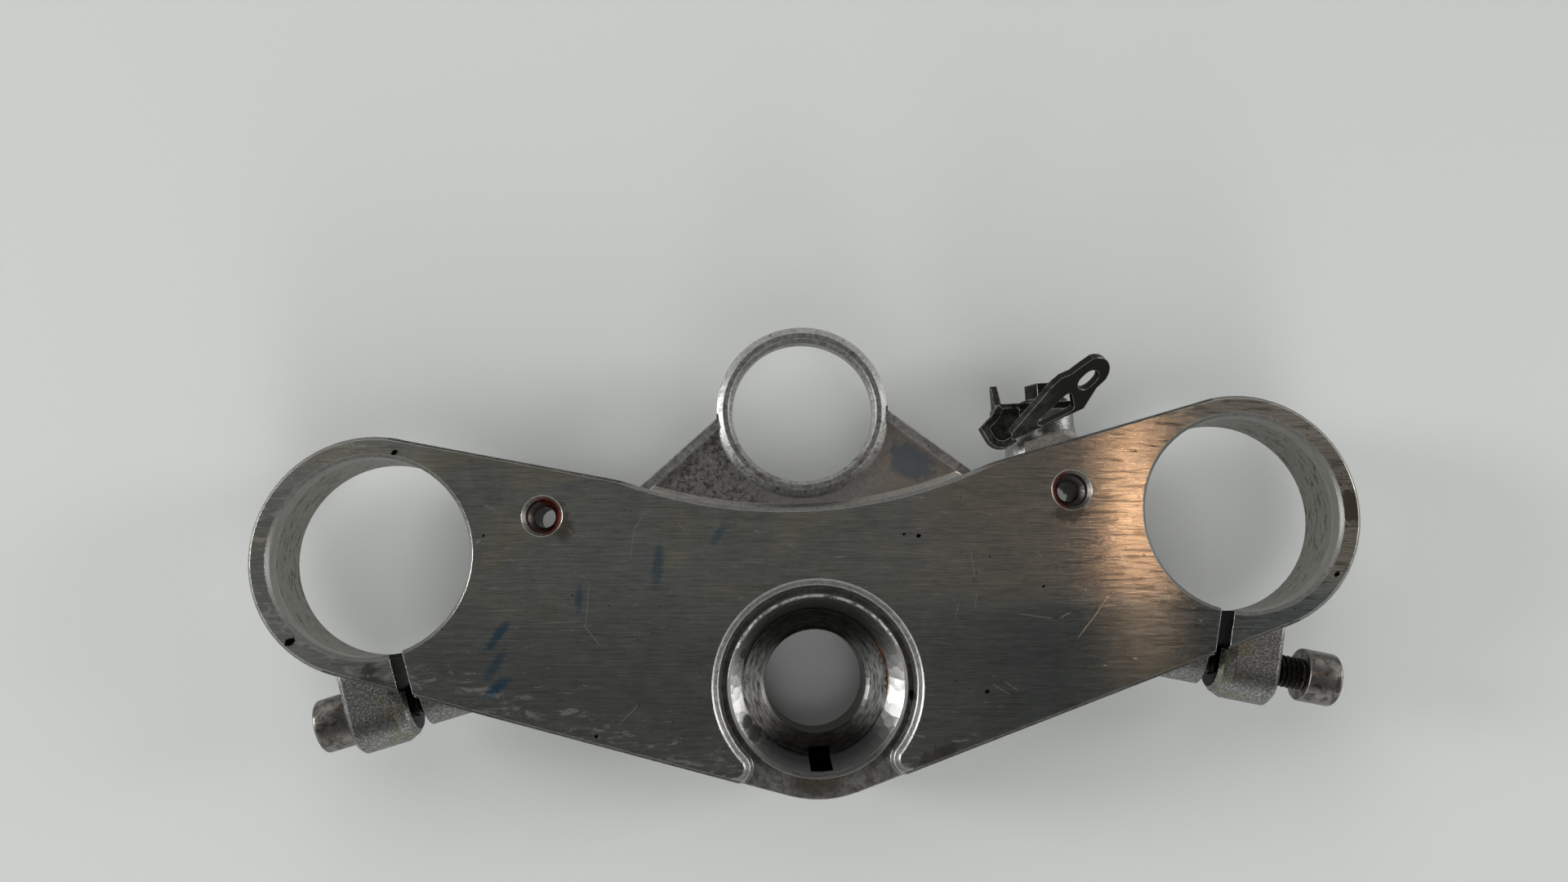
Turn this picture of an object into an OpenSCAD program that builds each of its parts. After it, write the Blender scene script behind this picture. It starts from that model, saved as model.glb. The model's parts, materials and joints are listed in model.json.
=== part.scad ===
// Upper fork clamp of a motorcycle: a cast yoke with two pinch bolts and a bolted cable guide.
// Millimetres. The origin is on the steering stem axis, in the underside of the stem boss.
// +X is the rider's right, +Y is the front of the motorcycle and +Z is up.

/* [Fork clamps] */
// Distance between the two fork tubes
fork_spacing = 212; // [206:0.5:218]
// Distance of the fork tubes in front of the steering stem
fork_ahead = 36; // [34:0.5:38]
// Diameter of the fork bores
fork_bore_d = 48; // [46:0.5:50]
// Wall around the fork bores
clamp_wall = 5; // [4.5:0.1:6]
// Height of the clamps
clamp_h = 19.5; // [18.5:0.25:22]
// Chamfer at both ends of the fork bores
bore_chamfer = 0.8; // [0.4:0.1:1.2]

/* [Pinch joints] */
// Width of the clamp slits
slit_w = 3.2; // [2.4:0.1:4]
// Angle of the pinch bolts to the fork line, in degrees
pinch_angle = 14; // [10:0.5:18]
// Distance from the fork axis to the pinch bolt axis
pinch_reach = 35.6; // [34.5:0.1:37]
// Depth of the pinch bolt axis below the top face
pinch_drop = 11; // [10.5:0.1:11.5]
// Half height of the cast lugs
lug_r = 7.5; // [7.1:0.1:8]
// Distance from the slit centre to the outer lug's face
lug_out = 16.2; // [15:0.1:18]
// Distance from the slit centre to the inner lug's end
lug_in = 17; // [15:0.5:19]

/* [Pinch bolts] */
// Thread diameter of the pinch bolts
bolt_d = 8; // [8:0.1:8.2]
// Length of the pinch bolts under the head
bolt_len = 30; // [27:0.5:32]
// Diameter of the bolt heads
bolt_head_d = 13; // [12.5:0.1:13.5]
// Height of the bolt heads
bolt_head_h = 8.3; // [7:0.1:9]
// How far the right bolt is unscrewed
bolt_backed_out = 7.5; // [5:0.5:9]

/* [Plate] */
// Height of the top face above the underside of the stem boss
top_z = 34; // [32:0.5:37]
// Thickness of the plate's skin
skin_t = 8.5; // [7.5:0.25:10]
// Depth of the wall around the plate
rim_h = 15; // [13:0.5:17]
// Thickness of the wall around the plate
rim_w = 5; // [4:0.25:6]
// Angle of the front edges to the fork line, in degrees
front_angle = 13.4; // [12.5:0.1:14.2]
// Chamfer of the top face's edges
edge_chamfer = 0.7; // [0.4:0.1:1]

/* [Steering stem] */
// Radius of the stem boss at the top face
stem_boss_r = 26.6; // [26:0.1:27.5]
// Radius of the stem bore
stem_bore_r = 12.8; // [12:0.1:13.5]
// Radius of the shoulder in the recess
shoulder_r = 18.7; // [18:0.1:19.2]
// Depth of the shoulder below the top face
shoulder_drop = 17; // [15:0.5:19]
// Radius of the raised lip around the recess
lip_r = 21.3; // [20.8:0.1:21.8]
// Radius of the relief around the lip
relief_r = 25.3; // [24.8:0.1:25.6]
// Depth of the relief's floor
relief_drop = 2.3; // [2:0.1:3]
// Width of the notch at the rear of the recess
notch_w = 5.2; // [4:0.1:6.5]

/* [Key switch ring] */
// Distance of the ring in front of the steering stem
ring_ahead = 67.3; // [66:0.1:68.5]
// Radius of the ring's bore
ring_bore_r = 17.7; // [17:0.1:18]
// Radius of the counterbore under the ring's lip
ring_seat_r = 18.8; // [18.4:0.1:19.4]
// Outer radius of the ring
ring_r = 21.7; // [21.2:0.1:22.5]
// Depth of the ring's lip below the top face
ring_drop = 6; // [5:0.5:7]
// Thickness of the ring
ring_h = 10; // [9:0.5:12]
// Radius of the arc in which the top face ends
arc_r = 119; // [114:0.5:124]

/* [Handlebar stop holes] */
// Distance between the two holes
stop_spacing = 129; // [126:0.5:132]
// Distance of the holes in front of the steering stem
stop_ahead = 43.6; // [42.5:0.1:44.5]
// Radius of the through holes
stop_hole_r = 2.6; // [2.4:0.05:2.8]
// Radius of the holes' upper part
stop_upper_r = 4; // [3.8:0.1:4.3]

/* [Cable guide] */
// Distance of the guide's boss to the right of the steering stem
guide_x = 61.5; // [60:0.5:63]
// Depth of the guide's bolt axis below the top face
guide_drop = 8.5; // [8.5:0.1:9]
// Radius of the guide's boss
guide_boss_r = 7; // [6.6:0.1:7.4]
// Sheet thickness of the guide
sheet = 1.8; // [1.6:0.1:2]
// Tilt of the guide's eye plate, in degrees
eye_tilt = 50; // [48:0.5:54]
// Direction of the guide's eye plate, in degrees
eye_turn = 22.5; // [21.5:0.5:23.5]

/* [Hidden] */

// Smoothness and overlap
round_fn = 128;
small_fn = 48;
eps = 0.6;
gap = 0.03;

// How far straight edges and blends run into the round walls that they meet
seam = 0.05;

// How far the cutters of straight and round chamfers lap over each other, in mm and in degrees
chamfer_run = 2.5;
chamfer_lap = 1;

// Colours
cast_grey = [0.62, 0.62, 0.6];
steel_grey = [0.48, 0.47, 0.45];
guide_black = [0.09, 0.09, 0.1];

// Fork clamps
fork_x = fork_spacing / 2;
fork_r = fork_bore_d / 2;
boss_r = fork_r + clamp_wall;

// Outline: the front edges touch the clamps, and the rear edges touch the clamps and the stem boss
rear_angle = atan2(fork_ahead, fork_x) - asin((boss_r - stem_boss_r) / norm([fork_x, fork_ahead]));
front_normal = [-sin(front_angle), cos(front_angle)];
rear_normal = [sin(rear_angle), -cos(rear_angle)];
fork_axis = [fork_x, fork_ahead];
front_touch = fork_axis + (boss_r - seam) * front_normal;
rear_touch = fork_axis + (boss_r - seam) * rear_normal;
stem_touch = (stem_boss_r - seam) * rear_normal;

// The arc passes the middle of the face at this distance in front of the stem
arc_ahead = 42.4;
arc_chamfer = edge_chamfer + 0.2;
arc_y = arc_ahead + arc_r;
foot_x = 41.3;
foot_y = front_touch[1] - (front_touch[0] - foot_x) * tan(front_angle);

// Pinch joints, seen from the fork axis: u runs out along the bolt, v runs along the slit
slit_offset = -0.4;
lug_tail = 1.9;
lug_chamfer = 1;
inner_lug_r = lug_r - 0.5;
inner_lug_tail = 0.2;
lug_root = 18;
lug_blend_r = 4;

// Rounding of the lugs beside the slit: distance along u and drop in radius at each step
lug_rounding = [[0, 2.2], [1, 1.1], [3.4, 0]];
clearance_r = bolt_d / 2 + 0.3;

// Pinch bolts: hexagon socket and the chamfers of head and thread
socket_af = 6;
socket_depth = 4;
head_foot_chamfer = 0.4;
head_chamfer = 0.8;
thread_chamfer = 1;
face_u = lug_out + slit_offset;

// Key switch ring
web_drop = ring_drop + 2;
web_h = 5.5;
web_root = 6;
wing_foot = 1;
ring_edge_w = 1.7;
ring_edge_h = 1.4;
ring_chamfer = 0.9;
ring_chamfer_h = 1.4;
ring_lip_h = 3;
wing_rim_w = 2.2;
wing_rim_drop = ring_drop + 0.7;
wing_top_y = ring_ahead - 0.9;
wing_blend_r = 3;
foot_fillet = 1.7;

// Stem boss
boss_foot_r = stem_boss_r - 1.2;
lip_w = 0.9;
lip_drop = 1.5;
recess_r = lip_r - lip_w / 2;
notch_from = 16;
notch_to = 22.2;
notch_top = 4.2;
notch_sink = 2.5;
notch_point = 1.7;

// Side of the relief: distance from its edge and depth at each step
relief_side = [[0, 0], [0.3, 0.35], [1.45, 0.75], [2.1, relief_drop]];

// Seat of the stem nut: chamfer of the bore, groove around the shoulder, draught of the wall
seat_chamfer = 1;
seat_groove = 0.4;
seat_root_h = 3;
seat_root_w = 0.5;
seat_neck = 0.9;

// The noses beside the relief touch its circle, and stand just inside the rear edges
nose_r = 2.1;
nose_margin = 0.4;
nose_reach = relief_r + nose_r - seam;
nose_turn = rear_angle + acos((stem_boss_r - nose_r - edge_chamfer - nose_margin) / nose_reach);
nose = nose_reach * [sin(nose_turn), -cos(nose_turn)];
nose_out = nose + relief_r / 2 * rear_normal;

// Handlebar stop holes
stop_x = stop_spacing / 2;
stop_mouth_r = 5;
stop_upper_drop = 3;
stop_step = 1.2;
stop_boss_r = 8.5;

// Underside
rib_w = 4;
rib_drop = 13;
rib_behind = 20;
lug_block_root = 10;

// Cable guide
guide_reach = 28.2;
guide_face_y = fork_ahead + guide_reach;
guide_z = top_z - guide_drop;
guide_bolt_r = 3;
guide_bolt_depth = 13;
guide_head_h = 5.2;
guide_hex_af = 8;
guide_flange_r = 5.8;
guide_flange_h = 1.2;
guide_hole_r = guide_bolt_r + 0.3;

// Root of the guide's boss: where it starts, from the fork line, and the hollow flare at the plate,
// which stays this far below the top face
guide_root = 8;
guide_flare_ahead = 23.7;
guide_flare = 3.6;
guide_flare_drop = 1.1;

// Base plate, tab and eye plate of the guide; the eye plate's lower corner is beside the boss
base_half_h = 6.2;
base_left = -12.6;
base_right = 6.6;
tab_reach = 7.3;
tab_w = 1.6;
tab_root = [-0.7, 4.5];
tab_tip = [-0.7, 0.6];
eye_out = 7.6;
eye_behind = 0.7;
eye_corner = [guide_x + eye_out, guide_face_y - eye_behind, top_z];

// Plan of the curled strip between the eye plate and the base plate, from the guide's bolt axis
curl_centre = [-13.1, -5.5];
curl_r = 3.2;
curl = concat([[-10, -7.4]], arc(curl_centre, curl_r, -60, -150), [[-17.2, -4.4], [-14.6, -1.9], [-13, 0.6]]);
curl_floor = [[-8, 0.5], [-8, -4]];
curl_top = 0.6;
curl_h = 3.6;

// Outline of the eye plate, flat, with its lower corner at the origin
eye_end = [3.1, 9.6];
eye_end_r = 5;
eye_outline = concat([[0, 0], [1.7, 2], [4, 4.7]], arc(eye_end, eye_end_r, -45, 80),
    [[0.4, 13.6], [-1.8, 12.9], [-4.6, 13], [-7, 12], [-19.6, 2.9], [-19.6, 0.7]]);
eye_slot = rounded([[1.5, 8.2], [2.7, 8.8]], 2.3);
window = rounded([[-11.2, 2.2], [-3.7, 2.3], [-3.8, 5.9]], 1.3);

// Points along an arc
function arc(centre, r, from, to, steps = 8) =
    [for (i = [0:steps]) let (a = from + (to - from) * i / steps) centre + r * [cos(a), sin(a)]];

// Direction from one point to another, in degrees
function heading(from, to) = atan2(to[1] - from[1], to[0] - from[0]);

// Outline at a distance r around a convex polygon, or around a line between two points
function rounded(points, r) = [
    for (i = [0:len(points) - 1])
        let (before = points[(i + len(points) - 1) % len(points)], after = points[(i + 1) % len(points)],
            from = heading(before, points[i]) - 90, turn = (heading(points[i], after) - 90 - from + 720) % 360)
            each arc(points[i], r, from, from + turn)
];

// The route's corner i, moved sideways by d
function beside(route, i, d) =
    let (last = len(route) - 1, a = heading(route[max(i - 1, 0)], route[max(i, 1)]),
        b = heading(route[min(i, last - 1)], route[min(i + 1, last)]), half = ((b - a + 540) % 360 - 180) / 2)
        route[i] + d / cos(half) * [-sin(a + half), cos(a + half)];

module at_sides() {
    children();
    mirror([1, 0, 0])
        children();
}

// Puts its children at the right pinch joint, X along u, Y along v, Z up from the bolt axis
module at_pinch() {
    translate([fork_x, fork_ahead, top_z - pinch_drop])
        rotate(180 - pinch_angle)
            mirror([1, 0, 0])
                children();
}

// A round-ended arm that holds the bolt, from u0 with half height r0 to u1 with half height r1
module lug_slice(u0, u1, r0, r1, tail) {
    reach = pinch_reach + tail;
    translate([u0, reach, 0])
        rotate([0, 90, 0])
            cylinder(h = u1 - u0, r1 = r0, r2 = r1, $fn = small_fn);
    translate([0, lug_root, 0])
        rotate([-90, 0, 0])
            linear_extrude(reach - lug_root)
                polygon([[u0, -r0], [u1, -r1], [u1, r1], [u0, r0]]);
}

// The outer lug is rounded beside the slit and chamfered at its face
module outer_lug() {
    mouth = slit_offset + slit_w / 2;
    last = len(lug_rounding) - 1;
    for (i = [1:last])
        lug_slice(mouth + lug_rounding[i - 1][0], mouth + lug_rounding[i][0],
            lug_r - lug_rounding[i - 1][1], lug_r - lug_rounding[i][1], lug_tail);
    lug_slice(mouth + lug_rounding[last][0], face_u - lug_chamfer, lug_r, lug_r, lug_tail);
    lug_slice(face_u - lug_chamfer, face_u, lug_r, lug_r - lug_chamfer, lug_tail);
}

// Hollow blend between the outer lug's face and the clamp
module lug_blend() {
    centre_u = face_u + lug_blend_r;
    centre_v = sqrt(pow(boss_r + lug_blend_r - seam, 2) - pow(centre_u, 2));
    touch = (1 - lug_blend_r / norm([centre_u, centre_v])) * [centre_u, centre_v] - [0, seam];
    translate([0, 0, -lug_r + lug_chamfer])
        linear_extrude(2 * (lug_r - lug_chamfer))
            difference() {
                polygon([[face_u - 1, touch[1] - 2], touch, [centre_u, centre_v], [face_u - 1, centre_v]]);
                translate([centre_u, centre_v])
                    circle(lug_blend_r, $fn = small_fn);
            }
}

module lugs() {
    outer_lug();
    lug_slice(slit_offset - lug_in, slit_offset, inner_lug_r, inner_lug_r, inner_lug_tail);
    lug_blend();
}

// The flat outline between the clamps and the stem boss, drawn in by an inset
module outline(inset) {
    front = front_touch - inset * front_normal;
    foot = [foot_x, front[1] - (front[0] - foot_x) * tan(front_angle)];
    right = [foot, front, fork_axis, rear_touch - inset * rear_normal, stem_touch - inset * rear_normal];
    left = [for (i = [len(right) - 1:-1:0]) [-right[i][0], right[i][1]]];
    polygon(concat(right, left));
}

module plate() {
    translate([0, 0, top_z - rim_h])
        linear_extrude(rim_h)
            outline(0);
    at_sides()
        translate([fork_x, fork_ahead, top_z - clamp_h])
            cylinder(h = clamp_h, r = boss_r, $fn = round_fn);
    cylinder(h = top_z, r1 = boss_foot_r, r2 = stem_boss_r, $fn = round_fn);
}

// Hollow blend between the wing's edge and the ring, in plan
module wing_blend(wing_end, along) {
    out = [along[1], -along[0]];
    line_r = (wing_end - [0, ring_ahead]) * out;
    side = line_r + wing_blend_r - seam;
    up = sqrt(pow(ring_r + wing_blend_r - seam, 2) - pow(side, 2));
    centre = [0, ring_ahead] + side * out - up * along;
    touch = [0, ring_ahead] + (ring_r - 2 * seam) / (ring_r + wing_blend_r) * (centre - [0, ring_ahead]);
    foot = centre - (wing_blend_r + seam) * out;
    difference() {
        polygon([centre, touch, foot - 2 * out, foot]);
        translate(centre)
            circle(wing_blend_r, $fn = small_fn);
    }
}

// The cast web, rims and ring for the key switch
module key_ring() {
    wing = [[foot_x, foot_y], [ring_r, wing_top_y], [-ring_r, wing_top_y], [-foot_x, foot_y]];
    along = (wing[1] - wing[0]) / norm(wing[1] - wing[0]);
    inward = [-along[1], along[0]] * wing_rim_w;
    translate([0, 0, top_z - web_drop - web_h])
        linear_extrude(web_h)
            polygon(concat(wing, [[-foot_x, foot_y - web_root], [foot_x, foot_y - web_root]]));
    at_sides()
        translate([0, 0, top_z - web_drop - web_h - wing_foot])
            linear_extrude(web_drop - wing_rim_drop + web_h + wing_foot) {
                polygon([wing[0], wing[1], wing[1] + inward, wing[0] + inward]);
                wing_blend(wing[1], along);
            }
    translate([0, ring_ahead, top_z - ring_drop - ring_h]) {
        cylinder(h = ring_h - ring_edge_h, r = ring_r, $fn = round_fn);
        translate([0, 0, ring_h - ring_edge_h])
            cylinder(h = ring_edge_h, r1 = ring_r, r2 = ring_r - ring_edge_w, $fn = round_fn);
    }
}

// Slope at the foot of the arc
module arc_foot() {
    reach = asin((foot_x - 2) / arc_r);
    translate([0, arc_y, top_z - web_drop])
        rotate(-90 - reach)
            rotate_extrude(angle = 2 * reach, $fn = 4 * round_fn)
                polygon([[arc_r - foot_fillet, -eps], [arc_r + eps, -eps], [arc_r + eps, foot_fillet],
                    [arc_r, foot_fillet], [arc_r - foot_fillet, 0]]);
}

module guide_boss() {
    flare_r = guide_boss_r + guide_flare;
    translate([guide_x, fork_ahead, guide_z])
        rotate([-90, 0, 0]) {
            translate([0, 0, guide_root])
                cylinder(h = guide_reach - guide_root, r = guide_boss_r, $fn = small_fn);
            difference() {
                rotate_extrude($fn = small_fn)
                    polygon(concat([[0, guide_root], [flare_r, guide_root]],
                        arc([flare_r, guide_flare_ahead], guide_flare - seam, 270, 180), [[0, guide_flare_ahead]]));
                translate([-2 * flare_r, guide_flare_drop - guide_drop - 2 * flare_r, 0])
                    cube([4 * flare_r, 2 * flare_r, guide_reach]);
            }
        }
}

// One side of the hollow under the plate
module pocket() {
    difference() {
        translate([0, 0, -eps])
            linear_extrude(top_z - skin_t + eps)
                outline(rim_w);
        cylinder(h = top_z, r = stem_boss_r, $fn = round_fn);
        translate([fork_x, fork_ahead, 0])
            cylinder(h = top_z, r = boss_r, $fn = round_fn);
        translate([stop_x, stop_ahead, 0])
            cylinder(h = top_z, r = stop_boss_r, $fn = small_fn);
        translate([-fork_spacing, -fork_spacing, -2 * eps])
            cube([fork_spacing + rib_w / 2, 2 * fork_spacing, top_z + eps]);
        translate([0, fork_ahead - rib_behind, top_z - rib_drop])
            cube([fork_x, rib_w, rib_drop]);
        at_pinch()
            translate([slit_offset - lug_in, lug_block_root, -lug_r - 1])
                cube([lug_in + lug_out, pinch_reach, top_z]);
        translate([guide_x - guide_boss_r - guide_flare, fork_ahead + guide_root, 0])
            cube([2 * (guide_boss_r + guide_flare), fork_ahead, top_z]);
    }
}

// A three-cornered cutter for a chamfer: the corner is at [r, z]
function corner_cut(r, z, c) = [[r - c - eps, z + eps], [r + eps, z - c - eps], [r + eps, z + eps]];

module straight_chamfer(from, to) {
    run = to - from;
    translate([from[0], from[1], 0])
        rotate(atan2(run[1], run[0]))
            rotate([90, 0, 90])
                linear_extrude(norm(run))
                    polygon(corner_cut(0, top_z, edge_chamfer));
}

module round_chamfer(centre, r, from, to) {
    translate([centre[0], centre[1], 0])
        rotate(from)
            rotate_extrude(angle = to - from, $fn = round_fn)
                polygon(corner_cut(r, top_z, edge_chamfer));
}

module edge_chamfers() {
    rear_run = chamfer_run * [cos(rear_angle), sin(rear_angle)];
    at_sides() {
        straight_chamfer(front_touch + chamfer_run * [cos(front_angle), sin(front_angle)], [foot_x, foot_y]);
        straight_chamfer(stem_touch - rear_run, rear_touch + rear_run);
        round_chamfer(fork_axis, boss_r, rear_angle - 90 - chamfer_lap, 90 + front_angle + chamfer_lap);
    }
    round_chamfer([0, 0], stem_boss_r, -90 - rear_angle - chamfer_lap, -90 + rear_angle + chamfer_lap);
}

// Lowers the front of the plate to the key switch web
module arc_cut() {
    translate([0, arc_y, top_z - web_drop])
        cylinder(h = web_drop + eps, r = arc_r, $fn = 4 * round_fn);
    translate([0, arc_y, top_z - arc_chamfer])
        cylinder(h = arc_chamfer + eps, r1 = arc_r, r2 = arc_r + arc_chamfer + eps, $fn = 4 * round_fn);
}

module fork_bore() {
    translate([fork_x, fork_ahead, 0]) {
        cylinder(h = top_z + eps, r = fork_r, $fn = round_fn);
        translate([0, 0, top_z - bore_chamfer])
            cylinder(h = bore_chamfer + eps, r1 = fork_r, r2 = fork_r + bore_chamfer + eps, $fn = round_fn);
        translate([0, 0, top_z - clamp_h - eps])
            cylinder(h = bore_chamfer + eps, r1 = fork_r + bore_chamfer + eps, r2 = fork_r, $fn = round_fn);
    }
}

module pinch_holes() {
    at_pinch() {
        translate([slit_offset - slit_w / 2, fork_r / 2, -top_z])
            cube([slit_w, 2 * pinch_reach, 2 * top_z]);
        translate([slit_offset, pinch_reach, 0])
            rotate([0, 90, 0])
                cylinder(h = lug_out + eps, r = clearance_r, $fn = small_fn);
        translate([slit_offset - lug_in - eps, pinch_reach, 0])
            rotate([0, 90, 0])
                cylinder(h = lug_in + 2 * eps, r = bolt_d / 2, $fn = small_fn);
    }
}

// The sunk floor around the stem lip, which runs out over the rear edge between two rounded noses
module relief() {
    rotate_extrude($fn = round_fn)
        polygon(concat([[recess_r - eps, top_z + eps], [recess_r - eps, top_z - lip_drop],
            [lip_r + lip_w / 4, top_z - lip_drop], [lip_r + lip_w / 2, top_z - relief_drop]],
            [for (i = [len(relief_side) - 1:-1:0]) [relief_r - relief_side[i][0], top_z - relief_side[i][1]]],
            [[relief_r, top_z + eps]]));
    difference() {
        translate([0, 0, top_z - relief_drop])
            linear_extrude(relief_drop + eps)
                polygon([[0, 0], nose, nose_out, [0, -2 * relief_r], [-nose_out[0], nose_out[1]],
                    [-nose[0], nose[1]]]);
        at_sides()
            translate([nose[0], nose[1], top_z]) {
                for (i = [1:len(relief_side) - 1])
                    translate([0, 0, -relief_side[i][1]])
                        cylinder(h = relief_side[i][1] - relief_side[i - 1][1],
                            r1 = nose_r + relief_side[i][0], r2 = nose_r + relief_side[i - 1][0],
                            $fn = small_fn);
                cylinder(h = 2 * eps, r = nose_r, $fn = small_fn);
            }
        cylinder(h = 2 * top_z, r = lip_r + lip_w / 2, $fn = round_fn);
    }
}

// The deep seat of the stem nut, its bore and the notch
module stem_seat() {
    shoulder_z = top_z - shoulder_drop;
    rotate_extrude($fn = round_fn)
        polygon([[0, -eps], [stem_bore_r, -eps],
            [stem_bore_r, shoulder_z - seat_chamfer], [stem_bore_r + seat_chamfer, shoulder_z],
            [shoulder_r - 2 * seat_groove, shoulder_z], [shoulder_r - seat_groove, shoulder_z - seat_groove],
            [shoulder_r, shoulder_z + seat_groove], [shoulder_r + seat_root_w, shoulder_z + seat_root_h],
            [recess_r - seat_groove, top_z - lip_drop - seat_neck],
            [recess_r, top_z - lip_drop], [recess_r, top_z + eps], [0, top_z + eps]]);
    translate([-notch_w / 2, -notch_to, shoulder_z - notch_sink])
        cube([notch_w, notch_to - notch_from - notch_point + seam, shoulder_drop + notch_sink - notch_top]);
    translate([0, 0, shoulder_z - notch_sink])
        linear_extrude(notch_sink + 1)
            polygon([[-notch_w / 2, -notch_from - notch_point], [-notch_w / 4, -notch_from],
                [notch_w / 4, -notch_from], [notch_w / 2, -notch_from - notch_point]]);
}

module ring_bore() {
    ring_top = top_z - ring_drop;
    translate([0, ring_ahead, 0])
        rotate_extrude($fn = round_fn)
            polygon([[0, -eps], [ring_seat_r, -eps], [ring_seat_r, ring_top - ring_chamfer_h - ring_lip_h],
                [ring_bore_r, ring_top - ring_chamfer_h - ring_lip_h],
                [ring_bore_r, ring_top - ring_chamfer_h], [ring_bore_r + ring_chamfer, ring_top],
                [ring_bore_r + ring_chamfer, top_z], [0, top_z]]);
}

module stop_hole() {
    mouth = stop_mouth_r - stop_upper_r;
    translate([stop_x, stop_ahead, 0])
        rotate_extrude($fn = small_fn)
            polygon([[0, -eps], [stop_hole_r, -eps], [stop_hole_r, top_z - stop_upper_drop - stop_step],
                [stop_upper_r, top_z - stop_upper_drop], [stop_upper_r, top_z - mouth],
                [stop_mouth_r, top_z], [stop_mouth_r, top_z + eps], [0, top_z + eps]]);
}

module guide_bolt_hole() {
    translate([guide_x, guide_face_y - guide_bolt_depth, guide_z])
        rotate([-90, 0, 0])
            cylinder(h = guide_bolt_depth + eps, r = guide_bolt_r, $fn = small_fn);
}

module yoke() {
    color(cast_grey)
        difference() {
            union() {
                difference() {
                    plate();
                    at_sides()
                        pocket();
                    arc_cut();
                }
                key_ring();
                arc_foot();
                guide_boss();
                at_sides()
                    at_pinch()
                        lugs();
            }
            edge_chamfers();
            ring_bore();
            relief();
            stem_seat();
            guide_bolt_hole();
            at_sides() {
                fork_bore();
                pinch_holes();
                stop_hole();
            }
            translate([-fork_spacing, -fork_spacing, top_z])
                cube([2 * fork_spacing, 2 * fork_spacing, 10]);
        }
}

// Cap screw with its head's underside at the lug's face, moved out by backed_out
module pinch_bolt(backed_out) {
    head_r = bolt_head_d / 2;
    thread_r = bolt_d / 2 - gap;
    color(steel_grey)
        at_pinch()
            translate([face_u + backed_out, pinch_reach, 0])
                rotate([0, 90, 0])
                    difference() {
                        rotate_extrude($fn = small_fn)
                            polygon([[0, -bolt_len], [thread_r - thread_chamfer, -bolt_len],
                                [thread_r, thread_chamfer - bolt_len], [thread_r, 0],
                                [head_r - head_foot_chamfer, 0], [head_r, head_foot_chamfer],
                                [head_r, bolt_head_h - head_chamfer],
                                [head_r - head_chamfer, bolt_head_h], [0, bolt_head_h]]);
                        translate([0, 0, bolt_head_h - socket_depth])
                            cylinder(h = socket_depth + eps, r = socket_af / 2 / cos(30), $fn = 6);
                    }
}

module pinch_bolt_left() {
    mirror([1, 0, 0])
        pinch_bolt(0);
}

module pinch_bolt_right() {
    pinch_bolt(bolt_backed_out);
}

// A strip of sheet on edge along a route in plan
module strip(route, h) {
    last = len(route) - 1;
    linear_extrude(h)
        polygon(concat([for (i = [0:last]) beside(route, i, sheet / 2)],
            [for (i = [last:-1:0]) beside(route, i, -sheet / 2)]));
}

module cable_guide() {
    color(guide_black) {
        difference() {
            translate([guide_x + base_left, guide_face_y, guide_z - base_half_h])
                cube([base_right - base_left, sheet, 2 * base_half_h]);
            translate([guide_x, guide_face_y - 1, guide_z])
                rotate([-90, 0, 0])
                    cylinder(h = sheet + 2, r = guide_hole_r, $fn = small_fn);
        }
        translate([guide_x + base_left + tab_w / 2, guide_face_y, guide_z])
            rotate([0, -90, 0])
                linear_extrude(tab_w)
                    polygon([[tab_root[0], 0], [tab_root[1], 0], [tab_root[1], sheet],
                        [tab_tip[1], tab_reach], [tab_tip[0], tab_reach]]);
        translate([guide_x, guide_face_y, top_z + curl_top - curl_h]) {
            strip(curl, curl_h);
            linear_extrude(sheet)
                polygon(concat(curl, curl_floor));
        }
        translate(eye_corner)
            rotate([0, 0, eye_turn])
                rotate([eye_tilt, 0, 0])
                    translate([0, 0, -sheet])
                        linear_extrude(sheet)
                            difference() {
                                polygon(eye_outline);
                                polygon(eye_slot);
                                polygon(window);
                            }
    }
}

module guide_bolt() {
    color(guide_black)
        translate([guide_x, guide_face_y + sheet, guide_z])
            rotate([-90, 0, 0]) {
                cylinder(h = guide_flange_h, r = guide_flange_r, $fn = small_fn);
                cylinder(h = guide_head_h, r = guide_hex_af / 2 / cos(30), $fn = 6);
                translate([0, 0, 1 - guide_bolt_depth])
                    cylinder(h = guide_bolt_depth, r = guide_bolt_r - gap, $fn = small_fn);
            }
}

yoke();
pinch_bolt_left();
pinch_bolt_right();
cable_guide();
guide_bolt();
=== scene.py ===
"""Looks of a used motorcycle triple clamp: brushed and cast aluminium, steel screws, black guide."""
import json
import math

import bpy
from mathutils import Matrix, Vector


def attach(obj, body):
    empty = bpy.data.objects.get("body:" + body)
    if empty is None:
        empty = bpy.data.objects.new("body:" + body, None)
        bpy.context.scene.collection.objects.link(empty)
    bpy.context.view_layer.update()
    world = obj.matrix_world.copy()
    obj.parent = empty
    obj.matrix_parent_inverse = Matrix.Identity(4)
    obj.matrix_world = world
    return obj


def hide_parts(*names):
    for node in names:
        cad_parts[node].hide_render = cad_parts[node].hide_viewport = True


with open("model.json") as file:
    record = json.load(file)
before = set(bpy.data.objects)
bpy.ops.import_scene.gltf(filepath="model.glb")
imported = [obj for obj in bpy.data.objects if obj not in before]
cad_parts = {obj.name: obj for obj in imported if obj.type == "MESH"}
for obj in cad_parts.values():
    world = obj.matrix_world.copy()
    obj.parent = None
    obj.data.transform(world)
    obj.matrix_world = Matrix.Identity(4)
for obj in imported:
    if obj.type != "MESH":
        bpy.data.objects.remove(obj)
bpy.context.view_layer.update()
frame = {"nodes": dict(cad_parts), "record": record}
nodes = frame["nodes"]
MM = 0.001

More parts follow.
